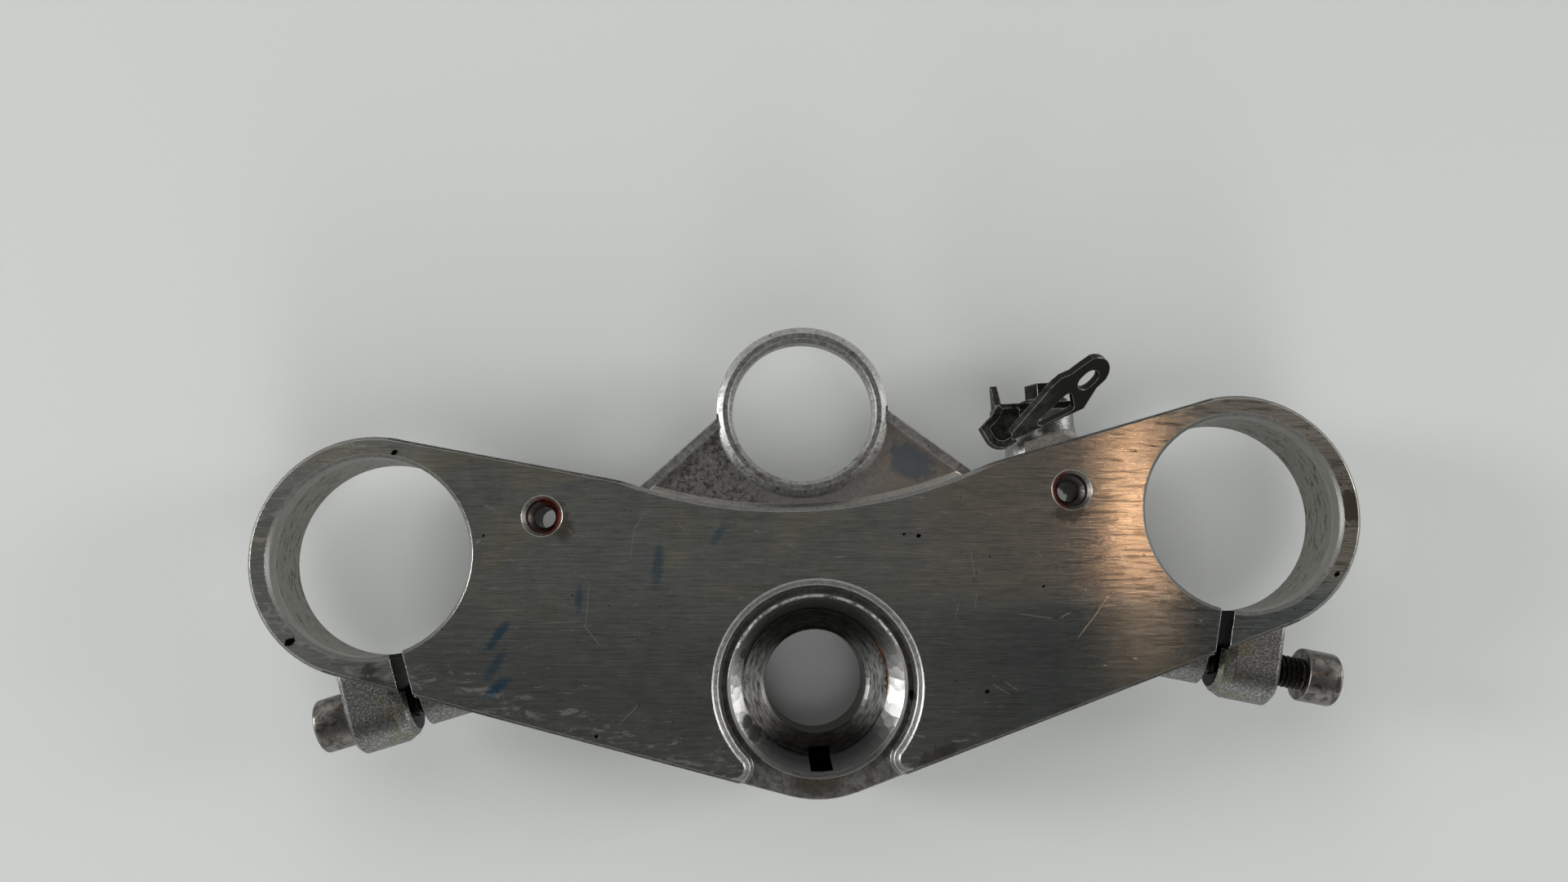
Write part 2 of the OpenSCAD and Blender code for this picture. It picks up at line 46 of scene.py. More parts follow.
# Places and sizes of the part's mounts, in millimetres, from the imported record
mounts = {mount["name"]: mount for mount in frame["record"]["mounts"]}
mount_at = {name: [v * 1000.0 for v in mount["pos_m"]] for name, mount in mounts.items()}
FORK_X, FORK_Y = mount_at["right_fork_clamp"][:2]
FORK_R = mounts["right_fork_clamp"]["dims"]["r_mm"]
RING_Y = mount_at["key_switch_ring"][1]
STEM_BORE_R = mounts["stem_bore"]["dims"]["r_mm"]
STOP_X = mounts["handlebar_stop_holes"]["dims"]["spacing_x_mm"] / 2
STOP_Y = mount_at["handlebar_stop_holes"][1]

# Other sizes of the part in millimetres, as in the CAD source
TOP_Z = 34.0
CLAMP_R, STOP_MOUTH_R = 29.0, 5.0
RING_R, RING_TOP_Z = 21.7, 28.0
WEB_TOP_Z, WEB_HALF = 26.0, 46.0
LIP_R, RELIEF_R, SHOULDER_Z = 21.3, 25.3, 17.0
PINCH_ANGLE, PINCH_REACH, PINCH_Z, LUG_FACE = 14.0, 35.6, 23.0, 15.8
GUIDE_X, GUIDE_Y, GUIDE_Z = 61.5, 64.2, 25.5
ARC_Y, ARC_R = 161.4, 119.0

# Where the looks change, in millimetres
BAND_Z = 29.5
SEAT_R = 18.4
LIP_FOOT_R = 23.2
RELIEF_REACH = 31.0
RELIEF_FLOOR_Z = 31.7
BOSS_FLARE_R = 11.0
SLIT_SHIFT, SLIT_HALF = 0.4, 1.66
NOTCH_HALF, NOTCH_REAR_Y, NOTCH_FRONT_Y, NOTCH_TOP_Z = 2.6, -22.6, -16.0, 30.2

# Where looks of the top face fade in, from the first to the second value, in millimetres
LIGHTER_Y, YELLOWISH_Y = (0.0, 34.0), (12.0, 26.0)
BROWN_X, BROWN_Y = (10.0, 45.0), (14.0, 24.0)
# The next line places the painted cool shade on the right rear
COOL_SHADE_X, COOL_SHADE_Y = (20.0, 62.0), (17.2, 14.2)
WARM_X, WARM_FORK_R = (52.0, 78.0), (48.0, 30.0)
OUTSIDE_X, RIM_X, RIM_REAR_X = (104.0, 122.0), (85.0, 95.0), (96.0, 104.0)
DASHES_X, DASHES_Y = (-62.0, -18.0), (2.0, -12.0)
SMEARS_REAR_X, SMEARS_LEFT_X, SMEARS_LESS_X = (70.0, 0.0), (-95.0, -105.0), (20.0, 60.0)

# The same for the rims, in Y from the fork's axis, and for smears, across slanted lines
RIM_FRONT_Y, RIM_REAR_Y = (8.0, 22.0), (-6.0, -20.0)
SMEARS_REAR, SMEARS_LEFT = (-19.0, -25.5), (-4.0, 14.0)

# The same for the lugs, with U along the pinch bolt and V from the fork's axis out through the slit
LUG_U, OLIVE_U = (22.0, 19.0), (1.0, 8.0)
# The second pair on the next line places the painted shade on the lugs' tops
LUG_V, LUG_SHADE_V = (25.0, 28.0), (36.5, 40.5)

# The same for the recess, the relief, the small holes, the web and its foot
GREASE_FRONT_Y, GREASE_REAR_Y, CORNER_Y = (2.0, 12.0), (-9.0, -15.0), (-14.0, 8.0)
RUST_X, RUST_Y = (2.0, 8.0), (-4.0, 8.0)
# The second pair on the next line limits the painted shadow in the relief
RELIEF_Y, GROOVE_SHADOW_Y, RESIDUE_X = (31.0, 29.0), (-24.0, -14.0), (20.0, -20.0)
WEB_Y, WEB_LEFT_X, WEB_RIGHT_X = (40.0, 42.0), (-6.0, -16.0), (10.0, 22.0)
# The second pair on the next line places the painted shade line at the plate's foot
FOOT_Z, FOOT_SHADE_Z = (29.0, 28.0), (30.5, 28.5)

# Cosine and sine of the angle between the brush streaks and X
STREAK_COS, STREAK_SIN = 0.9987, 0.05

# Colours of the plate, as linear values
BRUSHED, YELLOWISH = (0.965, 1.0, 0.93), (1.0, 0.975, 0.80)
# The second colour on the next line is a painted cool shade for the right rear of the top face
BROWNISH, COOL_SHADE = (1.0, 0.90, 0.74), (0.66, 0.73, 0.70)
BRUSH_LINE, DASH, SMEAR = (0.11, 0.10, 0.08), (0.70, 0.685, 0.64), (0.66, 0.645, 0.61)
SCRATCH, FLECK = (0.85, 0.83, 0.78), (0.82, 0.80, 0.75)
SPECK, NICK = (0.03, 0.026, 0.022), (0.012, 0.011, 0.010)
BLUE = (0.07, 0.19, 0.31)

# Colours of the casting
SKIN, SKIN_DIRT, PORE = (0.99, 1.0, 0.965), (0.10, 0.085, 0.062), (0.04, 0.035, 0.03)
# The last colour on the next line is painted shade for the tops of the lugs
BLAST, OLIVE, LUG_SHADE = (0.99, 1.0, 0.975), (0.22, 0.21, 0.09), (0.10, 0.10, 0.095)
PALE_GREY, RING_STAIN, RING_GRAIN = (0.99, 1.0, 0.97), (0.09, 0.07, 0.05), (0.60, 0.60, 0.58)
BORE, BORE_STAIN, BORE_BAND = (1.0, 0.985, 0.90), (0.07, 0.058, 0.03), (0.50, 0.49, 0.46)
# The last two colours on the next line carry painted highlights: on the recess's wall, and in lines at
# its rim and bore
SEAT, SEAT_WALL, SEAT_HIGHLIGHT = (0.99, 1.0, 0.98), (1.0, 1.0, 0.99), (0.75, 0.75, 0.73)
GREASE_FRONT, GREASE_REAR, GREASE = (0.018, 0.018, 0.009), (0.018, 0.013, 0.010), (0.004, 0.0035, 0.003)
RUST, BORE_FILM = (0.26, 0.085, 0.022), (0.17, 0.165, 0.12)
# On the next line, the second colour is painted shadow and the third a painted highlight, both for the
# relief
FLOOR_DIRT, GROOVE_SHADOW, RELIEF_HIGHLIGHT = (0.16, 0.145, 0.115), (0.055, 0.053, 0.048), (0.70, 0.70, 0.68)
YELLOW_STAIN, BLACK_SPOT = (0.085, 0.065, 0.028), (0.006, 0.006, 0.006)
BOSS = (0.97, 1.0, 0.985)
# The last colour on the next line is painted shade deep in the small holes
HOLE, RED_RESIDUE, HOLE_SHADE = (1.0, 0.90, 0.80), (0.14, 0.026, 0.014), (0.03, 0.024, 0.02)
WEB, WEB_FLECK, WEB_DARK = (1.0, 0.985, 0.955), (0.75, 0.75, 0.73), (0.045, 0.043, 0.045)
WEB_BROWN, WEB_BLUISH = (0.46, 0.385, 0.30), (0.19, 0.23, 0.27)
# The second colour on the next line is painted shade along the bottom of the plate's wall above the web
FOOT, FOOT_SHADE = (0.36, 0.335, 0.30), (0.03, 0.025, 0.02)
# Painted shadow for the walls of the slits and the notch
INSIDE_SHADE = (0.004, 0.004, 0.004)
WORN_EDGE = (0.72, 0.715, 0.69)

# Camera, from the photo's round bores and straight edges, with the photo's pixels as its measure
FOCAL_PX = 1387.0
PHOTO_W, PHOTO_H = 1920.0, 1080.0
CAMERA_AT = Vector((-11.4619, 20.4661, 308.2114))
TILT_X, TILT_Y, TILT_Z = -0.1406, 0.0159, 0.0509
TO_CAMERA = (Matrix.Rotation(TILT_X, 3, "X") @ Matrix.Rotation(TILT_Y, 3, "Y")
    @ Matrix.Rotation(TILT_Z, 3, "Z"))


def cos_sin(degrees):
    """Cosine and sine of an angle."""
    return math.cos(math.radians(degrees)), math.sin(math.radians(degrees))


def add_object(name, data):
    """A new object that holds the data, in the scene."""
    added = bpy.data.objects.new(name, data)
    bpy.context.scene.collection.objects.link(added)
    return added


def on_plane(u, v, z=TOP_Z):
    """The point at height z, in mm, that the photo shows at the pixel u, v."""
    seen = Vector(((u - PHOTO_W / 2) / FOCAL_PX, -(v - PHOTO_H / 2) / FOCAL_PX, -1.0))
    ray = TO_CAMERA.transposed() @ seen
    return CAMERA_AT + ray * ((z - CAMERA_AT.z) / ray.z)


def add_camera():
    data = bpy.data.cameras.new("camera")
    data.sensor_width = 36.0
    data.lens = FOCAL_PX / PHOTO_W * data.sensor_width
    data.clip_start, data.clip_end = 0.01, 20.0
    camera = add_object("camera", data)
    camera.matrix_world = Matrix.Translation(CAMERA_AT * MM) @ TO_CAMERA.transposed().to_4x4()
    bpy.context.scene.camera = camera


# Short notation for node trees

BEVEL_SAMPLES = 6

class Val:
    """A number in a node tree: sums and products of these add Math nodes."""

    def __init__(self, tree, out):
        self.tree, self.out = tree, out

    def op(self, name, *others, clamp=False):
        return self.tree.math(name, self, *others, clamp=clamp)

    def __add__(self, other):
        return self.op("ADD", other)

    def __sub__(self, other):
        return self.op("SUBTRACT", other)

    def __mul__(self, other):
        return self.op("MULTIPLY", other)

    def __truediv__(self, other):
        return self.op("DIVIDE", other)

    __radd__, __rmul__ = __add__, __mul__

    def __rsub__(self, other):
        return self.tree.math("SUBTRACT", other, self)

    def abs(self):
        return self.op("ABSOLUTE")

    def max(self, other):
        return self.op("MAXIMUM", other)

    def min(self, other):
        return self.op("MINIMUM", other)

    def ramp(self, low, high):
        """0 below low and 1 above high, smooth between; the other way round where low is larger."""
        node = self.tree.node("ShaderNodeMapRange", interpolation_type="SMOOTHSTEP")
        for socket, value in zip(node.inputs, (self, low, high, 0.0, 1.0)):
            self.tree.feed(socket, value)
        return Val(self.tree, node.outputs[0])

    def band(self, low, high, soft):
        """1 between low and high, 0 outside."""
        return self.ramp(low - soft, low + soft) * self.ramp(high + soft, high - soft)


class Tree:
    """One material and its nodes."""

    def __init__(self, name, tree=None):
        if tree is None:
            self.material = bpy.data.materials.new(name)
            self.material.use_nodes = True
            tree = self.material.node_tree
        self.tree = tree
        tree.nodes.clear()

    def node(self, kind, **settings):
        node = self.tree.nodes.new(kind)
        for key, value in settings.items():
            setattr(node, key, value)
        return node

    def feed(self, socket, value):
        if isinstance(value, Val):
            value = value.out
        if isinstance(value, bpy.types.NodeSocket):
            self.tree.links.new(value, socket)
        elif isinstance(value, (tuple, list)) and len(socket.default_value) == 4:
            socket.default_value = (*value[:3], 1.0)
        else:
            socket.default_value = value

    def math(self, name, *values, clamp=False):
        node = self.node("ShaderNodeMath", operation=name, use_clamp=clamp)
        for socket, value in zip(node.inputs, values):
            self.feed(socket, value)
        return Val(self, node.outputs[0])

    def vector(self, x, y, z):
        node = self.node("ShaderNodeCombineXYZ")
        for socket, value in zip(node.inputs, (x, y, z)):
            self.feed(socket, value)
        return node.outputs[0]

    def parts(self, vector):
        node = self.node("ShaderNodeSeparateXYZ")
        self.feed(node.inputs[0], vector)
        return [Val(self, out) for out in node.outputs]

    def position(self):
        """The point on the part, in millimetres."""
        node = self.node("ShaderNodeTexCoord")
        return [v * 1000.0 for v in self.parts(node.outputs["Object"])]

    def normal(self):
        return self.parts(self.node("ShaderNodeNewGeometry").outputs["True Normal"])

    def rounded(self, radius):
        """The normal of the surface with its edges rounded to a radius in millimetres."""
        bevel = self.node("ShaderNodeBevel", samples=BEVEL_SAMPLES)
        bevel.inputs["Radius"].default_value = radius * MM
        return bevel.outputs[0]

    def edge(self, radius):
        """0 on flat ground, rising towards edges within the radius, in millimetres."""
        dot = self.node("ShaderNodeVectorMath", operation="DOT_PRODUCT")
        self.feed(dot.inputs[0], self.rounded(radius))
        self.feed(dot.inputs[1], self.node("ShaderNodeNewGeometry").outputs["Normal"])
        return (1.0 - Val(self, dot.outputs["Value"])).ramp(0.01, 0.12)

    def noise(self, at, scale, detail=3.0, rough=0.5, twist=0.0):
        """Noise from 0 to 1 with a scale in cells for each millimetre."""
        node = self.node("ShaderNodeTexNoise")
        self.feed(node.inputs["Vector"], at)
        values = {"Scale": scale, "Detail": detail, "Roughness": rough, "Distortion": twist}
        for key, value in values.items():
            node.inputs[key].default_value = value
        return Val(self, node.outputs[0])

    def mix(self, base, over, amount):
        """Colour base, covered by colour over where amount is 1."""
        node = self.node("ShaderNodeMix", data_type="RGBA")
        self.feed(node.inputs["Factor"], amount)
        colours = [s for s in node.inputs if s.type == "RGBA"]
        self.feed(colours[0], base)
        self.feed(colours[1], over)
        return next(s for s in node.outputs if s.type == "RGBA")

    def shade(self, colour, amount):
        """The colour times a number."""
        node = self.node("ShaderNodeMix", data_type="RGBA", blend_type="MULTIPLY")
        node.inputs["Factor"].default_value = 1.0
        grey = self.node("ShaderNodeCombineColor")
        for socket in grey.inputs:
            self.feed(socket, amount)
        colours = [s for s in node.inputs if s.type == "RGBA"]
        self.feed(colours[0], colour)
        self.feed(colours[1], grey.outputs[0])
        return next(s for s in node.outputs if s.type == "RGBA")

    def bump(self, height, strength, distance, radius=0.0, normal=None):
        """A normal from a height, with the size of a full step and the radius of the edges in mm."""
        node = self.node("ShaderNodeBump")
        node.inputs["Strength"].default_value = strength
        node.inputs["Distance"].default_value = distance * MM
        self.feed(node.inputs["Height"], height)
        if radius:
            self.feed(node.inputs["Normal"], self.rounded(radius))
        if normal is not None:
            unit = self.node("ShaderNodeVectorMath", operation="NORMALIZE")
            self.feed(unit.inputs[0], normal)
            self.feed(node.inputs["Normal"], unit.outputs[0])
        return node.outputs[0]

    def surface(self, colour, roughness, metallic=1.0, normal=None, **more):
        node = self.node("ShaderNodeBsdfPrincipled")
        self.feed(node.inputs["Base Color"], colour)
        self.feed(node.inputs["Roughness"], roughness)
        self.feed(node.inputs["Metallic"], metallic)
        if normal is not None:
            self.feed(node.inputs["Normal"], normal)
        for key, value in more.items():
            self.feed(node.inputs[key.replace("_", " ")], value)
        return node.outputs[0]

    def blend(self, base, over, amount):
        node = self.node("ShaderNodeMixShader")
        self.feed(node.inputs[0], amount)
        self.feed(node.inputs[1], base)
        self.feed(node.inputs[2], over)
        return node.outputs[0]

    def finish(self, shader):
        out = self.node("ShaderNodeOutputMaterial")
        self.feed(out.inputs["Surface"], shader)
        return self.material


def hypot(x, y):
    """Distance of the point x, y from zero."""
    return (x * x + y * y).op("SQRT")


def near(g, spot, ragged, z=TOP_Z, soft=0.2):
    """1 on an oval spot at height z, given by pixel, half length, half width and angle in degrees.

    The value ragged is added to the distance from the spot's middle, so that its edge isn't smooth.
    """
    u, v, length, width, angle = spot
    at = on_plane(u, v, z)
    c, s = cos_sin(angle)
    dx, dy = g.x - at.x, g.y - at.y
    along = (dx * c + dy * s) / length
    across = (dy * c - dx * s) / width
    return (hypot(along, across) + ragged).ramp(0.95 + soft, 0.95 - soft)


# Dark nicks in the top face: pixel and half length in mm, with the width as a share of the length
NICK_WIDTH, NICK_ANGLE = 0.75, 30
NICKS = {
    "left rim": (355, 786, 1.3),
    "left rim front": (483, 554, 0.9),
    "right rim": (1637, 703, 0.8),
    "middle left": (1107, 654, 0.4),
    "middle right": (1125, 656, 0.7),
    "right": (1278, 718, 0.45),
    "rear right": (1209, 847, 0.6),
    "rear left": (730, 902, 0.5),
    "left of the bore": (592, 656, 0.4),
}

# Blue smudges on the top face: pixel, half length, half width, angle in degrees, strength
SMUDGES = {
    "upper left": (609, 779, 4.2, 1.1, 50, 0.75),
    "left": (606, 815, 4.0, 1.1, 55, 0.6),
    "lower left": (609, 842, 3.6, 1.3, 30, 0.85),
    "middle": (709, 733, 3.2, 0.9, 85, 0.6),
    "front": (806, 690, 4.6, 1.3, 80, 0.55),
    "front right": (879, 655, 3.2, 1.0, 60, 0.45),
}

# Stains on the top face: pixel, half length, half width, angle in degrees, colour, strength
STAINS = {
    "right rim": (1656, 620, 3.4, 4.6, 0, (0.12, 0.095, 0.06), 0.75),
    "left hole": (684, 640, 3.0, 4.6, 10, (0.13, 0.085, 0.05), 0.55),
    "right hole": (1312, 628, 5.0, 2.0, 0, (0.07, 0.05, 0.035), 0.5),
    "left lug": (462, 838, 6.5, 1.5, -14, (0.10, 0.085, 0.055), 0.6),
    "left lug inside": (452, 820, 2.4, 1.6, 0, (0.05, 0.04, 0.03), 0.6),
    "stem left": (855, 835, 3.4, 2.8, 0, (0.42, 0.42, 0.43), 0.35),
    "rear right": (1150, 925, 7.0, 1.6, 20, (0.10, 0.075, 0.045), 0.5),
    "right lug": (1440, 765, 5.0, 2.6, 10, (0.30, 0.31, 0.33), 0.30),
}

# Chips of grease on the stem's shoulder: pixel, half length and angle, with the width as a share
CHIP_WIDTH, CHIP_Z = 0.6, SHOULDER_Z + 1.5
CHIPS = {
    "left": (916, 882, 1.8, -60),
    "lower left": (925, 895, 2.2, -45),
    "small": (942, 905, 0.9, 0),
    "lowest": (951, 908, 1.2, -20),
    "upper left": (911, 800, 1.6, 80),
}

# Yellow stain and dark spot in the relief, and bluish patch on the web, in the form of a smudge
YELLOW_SPOT, DARK_SPOT = (1000, 958, 6.5, 3.0, 0), (1117, 851, 0.8, 1.3, 0)
BLUISH_SPOT = (1116, 566, 6.5, 4.2, -35)

# Light scratches on the top face: half width in mm, and the pixels of both ends
SCRATCH_HALF = 0.16
SCRATCHES = {
    "by the left hole": ((790, 626), (776, 650)),
    "its lower bend": ((776, 650), (772, 684)),
    "long upright": ((721, 718), (717, 768)),
    "its foot": ((717, 768), (733, 789)),
    "middle left": ((830, 638), (838, 652)),
    "rear left": ((781, 864), (757, 888)),
    "across": ((665, 763), (712, 761)),
    "above": ((640, 746), (600, 748)),
    "right of the stem": ((1188, 672), (1194, 706)),
    "its end": ((1196, 726), (1194, 744)),
    "short right": ((1174, 738), (1170, 756)),
    "far right": ((1320, 781), (1342, 752)),
    "far right end": ((1342, 752), (1358, 729)),
    "right flat": ((1250, 752), (1288, 757)),
    "right slant": ((1298, 757), (1310, 750)),
    "rear right": ((1216, 838), (1236, 850)),
    "near the stem": ((1230, 834), (1246, 845)),
    "by the right bore": ((1268, 675), (1276, 682)),
}


def scratch_line(g, ends):
    """1 along a straight scratch."""
    a, b = on_plane(*ends[0]), on_plane(*ends[1])
    run = b - a
    length = run.length
    c, s = run.x / length, run.y / length
    dx, dy = g.x - a.x, g.y - a.y
    along = dx * c + dy * s
    across = (dy * c - dx * s).abs()
    return across.ramp(SCRATCH_HALF, SCRATCH_HALF * 0.4) * along.band(0.0, length, 0.5)


def most(values):
    """The largest of the values, point by point."""
    total = values[0]
    for value in values[1:]:
        total = total.max(value)
    return total


class Ground:
    """Coordinates, distances, noises and masks that the looks of the yoke share."""

    def __init__(self, t):
        self.x, self.y, self.z = x, y, z = t.position()
        self.nx, self.ny, self.nz = t.normal()
        self.at = at = t.vector(x, y, z)

        # Distances from the axes of the bores, the same on both sides of the part
        self.side_x, self.fork_y = x.abs() - FORK_X, y - FORK_Y
        self.fork_r = hypot(self.side_x, self.fork_y)
        self.stem_r = hypot(x, y)
        self.ring_r = hypot(x, y - RING_Y)
        self.arc_r = hypot(x, ARC_Y - y)
        self.stop_x = x.abs() - STOP_X
        self.stop_r = hypot(self.stop_x, y - STOP_Y)

        # Along the pinch bolt, and from the fork's axis out through the slit
        c, s = cos_sin(PINCH_ANGLE)
        self.pinch_u = self.side_x * c - self.fork_y * s
        self.pinch_v = self.side_x * -s - self.fork_y * c

        # Noises, and the ragged edge that they give to spots
        self.fine = t.noise(at, 1.6, 4.0, 0.6)
        self.coarse = t.noise(at, 0.16, 4.0, 0.6, 0.4)
        self.grime = t.noise(at, 0.38, 5.0, 0.7, 0.4)
        self.grain = t.noise(at, 1.15, 3.0, 0.65)
        self.speckle = t.noise(at, 2.0, 2.0, 0.6)
        self.rough_edge = (self.fine - 0.5) * 1.3
        self.worn = t.edge(0.55)

        # Masks: 1 where the name says, 0 elsewhere
        self.top = z.ramp(TOP_Z - 0.07, TOP_Z - 0.02)
        self.in_fork = self.fork_r.ramp(FORK_R + 1.2, FORK_R + 0.8) * z.ramp(TOP_Z - 0.05, TOP_Z - 0.15)
        self.in_stem = self.stem_r.ramp(LIP_R + 0.45, LIP_R + 0.3) * z.ramp(TOP_Z - 1.0, TOP_Z - 1.3)
        self.in_stop = (self.stop_r.ramp(STOP_MOUTH_R + 0.2, STOP_MOUTH_R - 0.1)
            * z.ramp(TOP_Z - 0.05, TOP_Z - 0.2))
        self.in_slit = ((self.pinch_u + SLIT_SHIFT).abs().ramp(SLIT_HALF + 0.06, SLIT_HALF)
            * self.pinch_v.ramp(FORK_R - 1.0, FORK_R))
        self.notch = (x.abs().ramp(NOTCH_HALF + 0.15, NOTCH_HALF)
            * y.band(NOTCH_REAR_Y, NOTCH_FRONT_Y, 0.1) * z.ramp(NOTCH_TOP_Z + 0.4, NOTCH_TOP_Z))
        self.lug = (self.pinch_v.ramp(*LUG_V) * z.ramp(TOP_Z - 0.7, TOP_Z - 1.0)
            * self.pinch_u.abs().ramp(*LUG_U))
        # Painted highlight: share of the way to the left or right of the stem, where the recess and
        # relief are painted lighter
        self.side_highlight = (x.abs() / self.stem_r).ramp(0.55, 0.98)


def brushed_shader(t, g):
    """Top face: brushed, scratched and stained."""
    x, y, z, fine, grime = g.x, g.y, g.z, g.fine, g.grime

    # Streaks along X, turned a little
    along, across = x * STREAK_COS - y * STREAK_SIN, x * STREAK_SIN + y * STREAK_COS
    flat = g.fork_r.ramp(CLAMP_R + 2.5, CLAMP_R + 0.5) * x.abs().ramp(*OUTSIDE_X)
    streak = t.noise(t.vector(along * 0.03, across * 1.9, z), 1.0, 5.0, 0.75)
    streak = streak + (0.5 - streak) * flat * 0.5
    hair = t.noise(t.vector(along * 0.10, across * 5.0, z), 1.0, 2.0, 0.6)
    comb = t.noise(t.vector(along * 0.22, across * 3.2, z + 4.0), 1.0, 3.0, 0.75)
    level = (0.38 + (streak - 0.5) * 0.36 + (hair - 0.5) * 0.30 + (comb - 0.5) * 0.42
        + (g.coarse - 0.5) * 0.16)

    # Lighter in front and on the rims of the clamps, yellowish in front, brown on the right, with
    # painted cool shade at the right rear
    rim_front = g.fork_y.ramp(*RIM_FRONT_Y) * 0.5
    rim_rear = g.fork_y.ramp(*RIM_REAR_Y) * x.abs().ramp(*RIM_REAR_X) * 0.4
    rim = (rim_front + rim_rear) * x.abs().ramp(*RIM_X)
    level = level * (0.87 + y.ramp(*LIGHTER_Y) * 0.40 + flat * 0.25 + rim)
    plate = t.shade(BRUSHED, level)
    tint = t.noise(t.vector(x * 0.045, y * 0.06, 2.0), 1.0, 3.0, 0.6, 0.4)
    tinted = tint.ramp(0.46, 0.60) * y.ramp(*YELLOWISH_Y) * 0.9
    plate = t.mix(plate, t.shade(YELLOWISH, level * 1.1), tinted)
    brown = x.ramp(*BROWN_X) * y.ramp(*BROWN_Y)
    plate = t.mix(plate, t.shade(BROWNISH, level * 1.15), brown * (0.5 + g.coarse * 0.5))
    # Painted cool shade on the right rear of the top face, behind the warm lamp's reflection
    plate = t.mix(plate, t.shade(COOL_SHADE, level), x.ramp(*COOL_SHADE_X) * y.ramp(*COOL_SHADE_Y))

    # Dark brush lines, most of all by the right bore
    warm_side = x.ramp(*WARM_X) * g.fork_r.ramp(*WARM_FORK_R)
    brush = t.noise(t.vector(along * 0.12, across * 1.1, z + 2.0), 1.0, 4.0, 0.65)
    plate = t.mix(plate, BRUSH_LINE, brush.ramp(0.50, 0.36) * (0.15 + warm_side * 0.45))

    # Light dashes, and whitish smears at the rear and on the left clamp
    dash = t.noise(t.vector(along * 0.5, across * 4.2, z + 9.0), 1.0, 4.0, 0.75).ramp(0.64, 0.74)
    dashes = dash * (0.4 + x.band(*DASHES_X, 12.0) * 0.4 + y.ramp(*DASHES_Y) * 0.3)
    plate = t.mix(plate, DASH, dashes * 0.6)
    smear = t.noise(t.vector(along * 0.16, across * 0.55, z), 1.0, 6.0, 0.78, 0.6)
    rear = (y - x.abs() * 0.36).ramp(*SMEARS_REAR) * x.ramp(*SMEARS_REAR_X)
    left_clamp = (g.fork_r.ramp(CLAMP_R + 2.0, CLAMP_R) * x.ramp(*SMEARS_LEFT_X)
        * (g.fork_y + g.side_x * 0.9).ramp(*SMEARS_LEFT))
    smears = smear + rear * 0.09 + left_clamp * 0.09 - x.ramp(*SMEARS_LESS_X) * 0.04
    smears = smears.ramp(0.60, 0.70)
    plate = t.mix(plate, SMEAR, smears * 0.6)

    # Scratches, light flecks, dark specks, nicks, smudges and stains
    scratch = most([scratch_line(g, ends) for ends in SCRATCHES.values()])
    plate = t.mix(plate, SCRATCH, scratch * (0.15 + fine * 0.8))
    fleck = t.noise(g.at, 1.0, 2.0, 0.5)
    plate = t.mix(plate, FLECK, fleck.ramp(0.735, 0.76) * g.coarse.ramp(0.40, 0.55) * 0.7)
    specks = (t.noise(g.at, 1.1, 2.0, 0.5) + warm_side * 0.045).ramp(0.74, 0.765)
    plate = t.mix(plate, SPECK, specks * 0.85)
    nicks = most([near(g, (u, v, r, r * NICK_WIDTH, NICK_ANGLE), g.rough_edge)
        for u, v, r in NICKS.values()])
    plate = t.mix(plate, NICK, nicks)
    for *spot, strength in SMUDGES.values():
        smudge = near(g, spot, (streak + grime - 1.0) * 1.6, soft=0.45)
        plate = t.mix(plate, BLUE, smudge * strength)
    for *spot, colour, strength in STAINS.values():
        plate = t.mix(plate, colour, near(g, spot, (grime - 0.5) * 2.4) * strength)
    plate = t.mix(plate, WORN_EDGE, g.worn * (0.05 + fine * 0.35))

    height = streak * 0.5 + hair * 0.4 + comb * 0.4 - nicks
    return t.surface(plate, 0.17 + streak * 0.08 + smears * 0.2, 1.0, t.bump(height, 0.25, 0.05, 0.3),
        Anisotropic=0.9, Tangent=t.vector(0.0, 1.0, 0.0))


def skin_colour(t, g):
    """Cast skin: grey with dark pores and light grains."""
    skin = t.shade(SKIN, 0.42 + (g.grain - 0.5) * 0.7 + (g.coarse - 0.5) * 0.3)
    dirt = t.noise(g.at, 0.45, 5.0, 0.7, 0.5).ramp(0.52, 0.72)
    skin = t.mix(skin, SKIN_DIRT, dirt * 0.55)
    pores = t.noise(g.at, 1.8, 2.0, 0.5).ramp(0.70, 0.76)
    return t.mix(skin, PORE, pores * 0.7)


def lug_colour(t, g):
    """Lugs: bright grains on grey, olive near the slit, painted shade along their rounded tops over the
    bolt's axis.
    """
    colour = t.shade(BLAST, 0.15 + g.speckle.ramp(0.40, 0.70) * 0.26)
    colour = t.mix(colour, OLIVE, g.grime.ramp(0.45, 0.62) * g.pinch_u.band(*OLIVE_U, 2.0) * 0.6)
    # Painted shade along the top of the lug
    return t.mix(colour, LUG_SHADE, g.pinch_v.band(*LUG_SHADE_V, 1.5) * 0.45)


def ring_colour(t, g):
    """Key switch ring: darker, with brown stains."""
    colour = t.shade(PALE_GREY, 0.40 + (g.grain - 0.5) * 0.55 + (g.grime - 0.5) * 0.4)
    colour = t.mix(colour, RING_STAIN, g.grime.ramp(0.50, 0.66) * 0.7)
    return t.mix(colour, RING_GRAIN, (g.grain + g.fine * 0.4).ramp(0.78, 0.95) * 0.5)


def bore_colour(t, g):
    """Walls of the fork bores: beige-grey with stains that run round, under a lighter band."""
    turn = g.side_x.op("ARCTAN2", g.fork_y)
    rings = t.noise(t.vector(turn * 6.0, g.z * 0.9, g.x * 0.01), 1.0, 5.0, 0.72, 0.3)
    colour = t.shade(BORE, 0.34 + (rings - 0.5) * 0.4)
    below = g.z.ramp(BAND_Z + 0.5, BAND_Z - 0.5)
    colour = t.mix(colour, BORE_STAIN, rings.ramp(0.50, 0.64) * below * 0.85)
    band = g.z.band(BAND_Z - 0.2, BAND_Z + 0.3, 0.2) * 0.7 + g.z.ramp(BAND_Z + 0.1, BAND_Z + 0.7) * 0.2
    return t.mix(colour, BORE_BAND, band)


